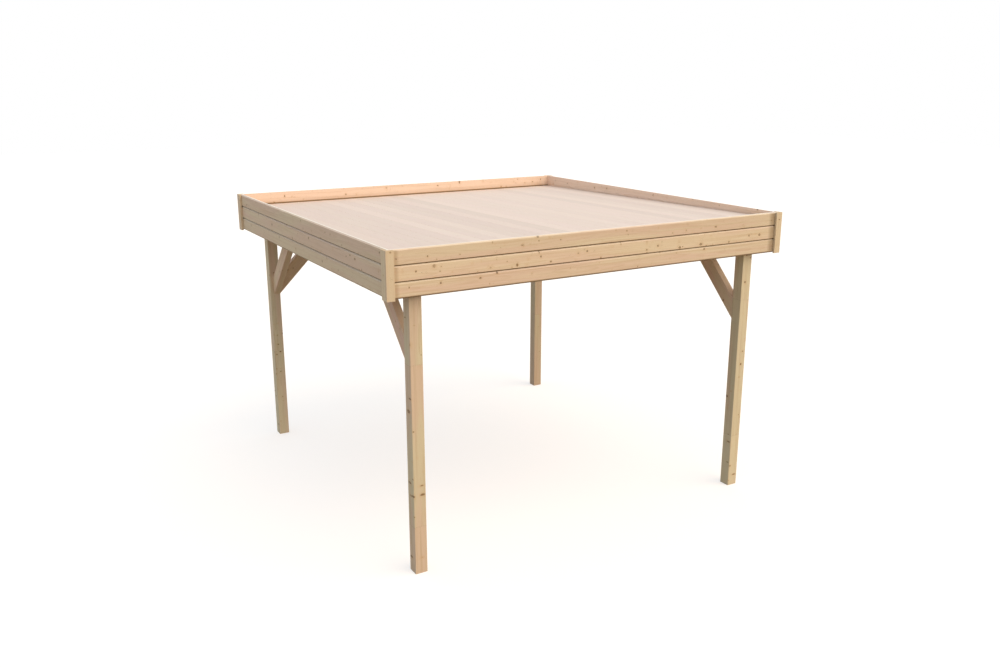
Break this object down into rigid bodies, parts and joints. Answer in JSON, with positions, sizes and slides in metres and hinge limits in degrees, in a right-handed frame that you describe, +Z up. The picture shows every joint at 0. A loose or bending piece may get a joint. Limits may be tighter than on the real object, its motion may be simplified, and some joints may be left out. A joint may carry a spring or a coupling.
{
  "type": "barbecue shelter",
  "caption": "Open timber barbecue shelter: square posts, side and back beams on knee braces, and a flat boarded roof inside a deep boarded fascia.",
  "frame": {"origin": "on the ground under the middle of the roof's outline, level with the feet of the four posts", "axes": "+X to the right seen from the open front, +Y towards the back, +Z up"},
  "size_m": [3.356, 3.326, 2.287],
  "materials": {
    "post_timber": "planed, untreated softwood",
    "beam_timber": "planed, untreated softwood",
    "brace_timber": "planed, untreated softwood",
    "roof_board_timber": "planed, untreated softwood",
    "fascia_timber": "planed, untreated softwood",
    "trim_timber": "planed, untreated softwood"
  },
  "bodies": {
    "root": {"front_left_post": "post_timber", "front_right_post": "post_timber", "back_left_post": "post_timber", "back_right_post": "post_timber", "left_beam": "beam_timber", "right_beam": "beam_timber", "back_beam": "beam_timber", "left_front_brace": "brace_timber", "left_back_brace": "brace_timber", "right_front_brace": "brace_timber", "right_back_brace": "brace_timber", "back_left_brace": "brace_timber", "back_right_brace": "brace_timber", "rafter_1": "beam_timber", "rafter_2": "beam_timber", "rafter_3": "beam_timber", "rafter_4": "beam_timber", "rafter_5": "beam_timber", "rafter_6": "beam_timber", "roof_boards": "roof_board_timber", "left_fascia_battens": "beam_timber", "right_fascia_battens": "beam_timber", "front_fascia_top": "fascia_timber", "front_fascia_middle": "fascia_timber", "front_fascia_bottom": "fascia_timber", "back_fascia_top": "fascia_timber", "back_fascia_middle": "fascia_timber", "back_fascia_bottom": "fascia_timber", "left_fascia_top": "fascia_timber", "left_fascia_middle": "fascia_timber", "left_fascia_bottom": "fascia_timber", "right_fascia_top": "fascia_timber", "right_fascia_middle": "fascia_timber", "right_fascia_bottom": "fascia_timber", "front_left_corner_trim": "trim_timber", "front_right_corner_trim": "trim_timber", "back_left_corner_trim": "trim_timber", "back_right_corner_trim": "trim_timber"}
  },
  "joints": []
}
